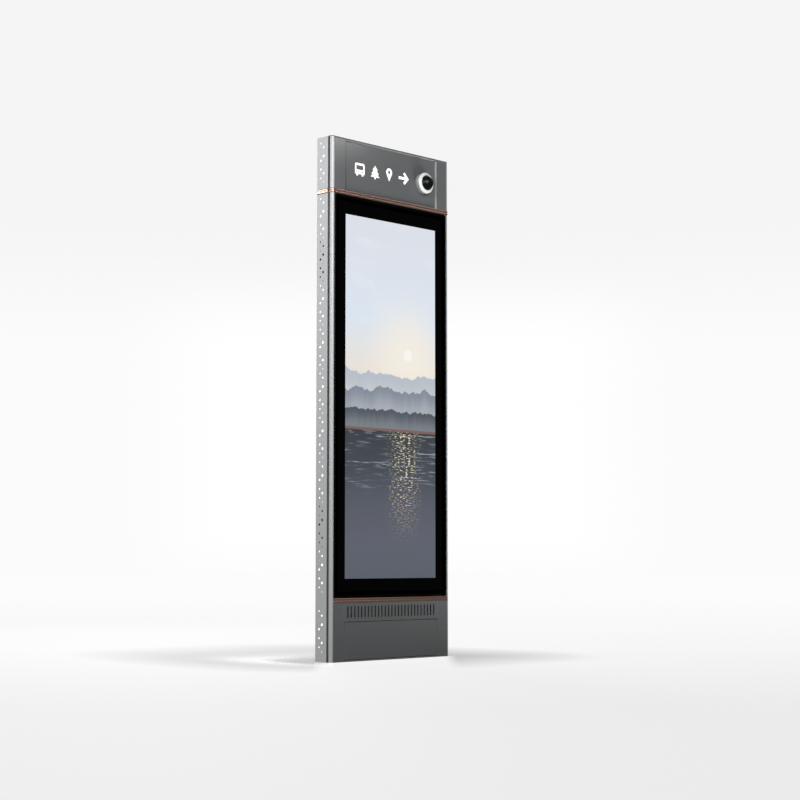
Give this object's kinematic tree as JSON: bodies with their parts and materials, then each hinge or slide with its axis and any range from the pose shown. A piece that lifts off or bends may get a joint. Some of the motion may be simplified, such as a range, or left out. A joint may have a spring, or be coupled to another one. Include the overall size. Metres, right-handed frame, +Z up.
{
  "type": "outdoor advertising screen",
  "caption": "Slim free-standing outdoor screen: glass door with a tall display, lit perforated sides, copper bead trims, header with dome camera, vented base.",
  "frame": {"origin": "on the underside of the base plate, at the middle of the cabinet's footprint", "axes": "+Z up, the screen looks along -Y, +X to the right of a person who faces the screen"},
  "size_m": [0.921, 0.1825, 2.8],
  "materials": {
    "frame_steel": "matt galvanised and primed steel",
    "grey_paint": "dark grey fine powder coat",
    "copper_trim": "satin copper-coloured anodised bead",
    "camera_white": "smooth satin white",
    "camera_dome": "smoked high gloss",
    "pin_steel": "turned steel",
    "black_frame": "satin black",
    "screen_glass": "clear toughened glass with a black printed border",
    "display": "lit picture",
    "silver_column": "satin anodised",
    "silver_panel": "satin silver powder coat",
    "dark_channel": "black anodised",
    "side_light": "milky, lit from behind"
  },
  "bodies": {
    "cabinet": {"base_plate": "frame_steel", "lower_rail": "frame_steel", "header_rail": "frame_steel", "top_rail": "frame_steel", "top_cap": "grey_paint", "header_panel": "grey_paint", "upper_trim_front": "copper_trim", "upper_trim_rear": "copper_trim", "lower_trim": "copper_trim", "vent_panel": "grey_paint", "back_panel_lower": "grey_paint", "back_panel_upper": "grey_paint", "camera_housing": "camera_white", "camera_ring": "camera_white", "camera_dome": "camera_dome", "screen_pins": "pin_steel", "service_pins": "pin_steel", "left_frame_post": "frame_steel", "left_corner_column": "silver_column", "left_dark_channel": "dark_channel", "left_side_panel_lower": "silver_panel", "left_side_panel_upper": "silver_panel", "left_side_lights": "side_light", "left_end_cap": "silver_panel", "left_header_strip": "grey_paint", "left_base_strip": "grey_paint", "right_frame_post": "frame_steel", "right_corner_column": "silver_column", "right_dark_channel": "dark_channel", "right_side_panel_lower": "silver_panel", "right_side_panel_upper": "silver_panel", "right_side_lights": "side_light", "right_end_cap": "silver_panel", "right_header_strip": "grey_paint", "right_base_strip": "grey_paint"},
    "screen_door": {"screen_door_frame": "black_frame", "screen_glass": "screen_glass", "display_panel": "display", "display_rails": "frame_steel"},
    "service_door": {"service_door": "grey_paint"}
  },
  "joints": [
    {"name": "screen_door_hinge", "type": "hinge", "parent": "cabinet", "child": "screen_door", "pos_m": [-0.4265, -0.052, 0.333], "axis": [0, 0, -1], "range_deg": [0, 90]},
    {"name": "service_door_hinge", "type": "hinge", "parent": "cabinet", "child": "service_door", "pos_m": [-0.349, -0.052, 0.008], "axis": [0, 0, -1], "range_deg": [0, 90]}
  ]
}
